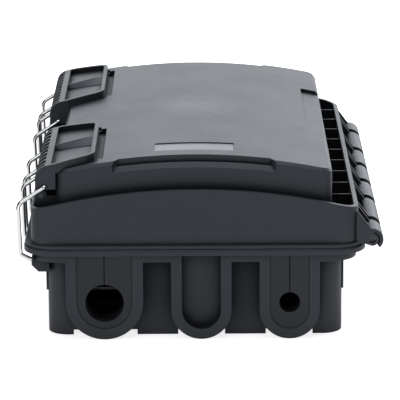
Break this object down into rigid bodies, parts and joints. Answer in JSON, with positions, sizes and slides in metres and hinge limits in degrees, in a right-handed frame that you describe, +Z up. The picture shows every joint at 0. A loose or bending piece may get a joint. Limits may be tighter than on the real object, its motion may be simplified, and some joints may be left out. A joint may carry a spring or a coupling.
{
  "type": "fibre distribution box",
  "caption": "Sealed box for joining optical fibres: rectangular tub with split rubber cable ports, arched hinged lid, lever latches with wire bails, splice tray and adapter row inside.",
  "frame": {"origin": "centre of the back of the tub, on the surface the back rests on", "axes": "+X from the latches to the hinge, +Y along the box from the cable ports to the far end, +Z up from the back to the lid"},
  "size_m": [0.2127, 0.289, 0.1081],
  "materials": {
    "shell": "moulded black polypropylene compound, satin with fine grain",
    "lever": "moulded black glass-filled plastic, satin",
    "wire": "bright polished stainless steel wire",
    "pin": "drawn steel rod, blackened",
    "rubber": "soft black thermoplastic rubber",
    "plate": "mill finish sheet",
    "screw": "zinc plated steel",
    "tray": "dark grey moulded ABS, fine grain",
    "cover": "clear smoke moulded polycarbonate",
    "sleeve": "clear heat shrink sleeve",
    "splitter": "ground metal housing",
    "adapter": "green moulded plastic",
    "cap": "grey soft plastic",
    "clamp": "black moulded nylon"
  },
  "bodies": {
    "base": {"base_shell": "shell", "sealing_gasket": "rubber", "large_port_grommet": "rubber", "small_port_grommet": "rubber", "hinge_pin": "pin", "mounting_plate": "plate", "plate_screws": "screw", "splice_tray": "tray", "splice_holder": "tray", "splice_sleeves": "sleeve", "tray_cover": "cover", "splitter_module": "splitter", "adapter_bracket": "plate", "fibre_adapters": "adapter", "dust_caps": "cap", "large_cable_clamp": "clamp", "small_cable_clamp": "clamp", "large_clamp_screws": "screw", "small_clamp_screws": "screw"},
    "lid_body": {"lid": "shell", "front_lever_pin": "pin", "rear_lever_pin": "pin"},
    "front_lever": {"front_latch_lever": "lever"},
    "front_near_bail": {"front_latch_near_bail": "wire"},
    "front_far_bail": {"front_latch_far_bail": "wire"},
    "rear_lever": {"rear_latch_lever": "lever"},
    "rear_near_bail": {"rear_latch_near_bail": "wire"},
    "rear_far_bail": {"rear_latch_far_bail": "wire"}
  },
  "joints": [
    {"name": "lid_hinge", "type": "hinge", "parent": "base", "child": "lid_body", "pos_m": [0.103, 0, 0.0584], "axis": [0, 1, 0], "range_deg": [0, 105]},
    {"name": "front_lever_hinge", "type": "hinge", "parent": "lid_body", "child": "front_lever", "pos_m": [-0.0888, -0.0838, 0.0838], "axis": [0, -1, 0], "range_deg": [0, 95]},
    {"name": "front_near_bail_hinge", "type": "hinge", "parent": "front_lever", "child": "front_near_bail", "pos_m": [-0.0862, -0.1308, 0.0903], "axis": [0, 1, 0], "range_deg": [0, 112]},
    {"name": "front_far_bail_hinge", "type": "hinge", "parent": "front_lever", "child": "front_far_bail", "pos_m": [-0.0862, -0.0368, 0.0903], "axis": [0, 1, 0], "range_deg": [0, 112]},
    {"name": "rear_lever_hinge", "type": "hinge", "parent": "lid_body", "child": "rear_lever", "pos_m": [-0.0888, 0.0838, 0.0838], "axis": [0, -1, 0], "range_deg": [0, 95]},
    {"name": "rear_near_bail_hinge", "type": "hinge", "parent": "rear_lever", "child": "rear_near_bail", "pos_m": [-0.0862, 0.0368, 0.0903], "axis": [0, 1, 0], "range_deg": [0, 112]},
    {"name": "rear_far_bail_hinge", "type": "hinge", "parent": "rear_lever", "child": "rear_far_bail", "pos_m": [-0.0862, 0.1308, 0.0903], "axis": [0, 1, 0], "range_deg": [0, 112]}
  ],
  "couplings": [
    {"joint": "front_near_bail_hinge", "follows": "front_lever_hinge", "ratio": 1.1579},
    {"joint": "front_far_bail_hinge", "follows": "front_lever_hinge", "ratio": 1.1579},
    {"joint": "rear_near_bail_hinge", "follows": "rear_lever_hinge", "ratio": 1.1579},
    {"joint": "rear_far_bail_hinge", "follows": "rear_lever_hinge", "ratio": 1.1579}
  ]
}
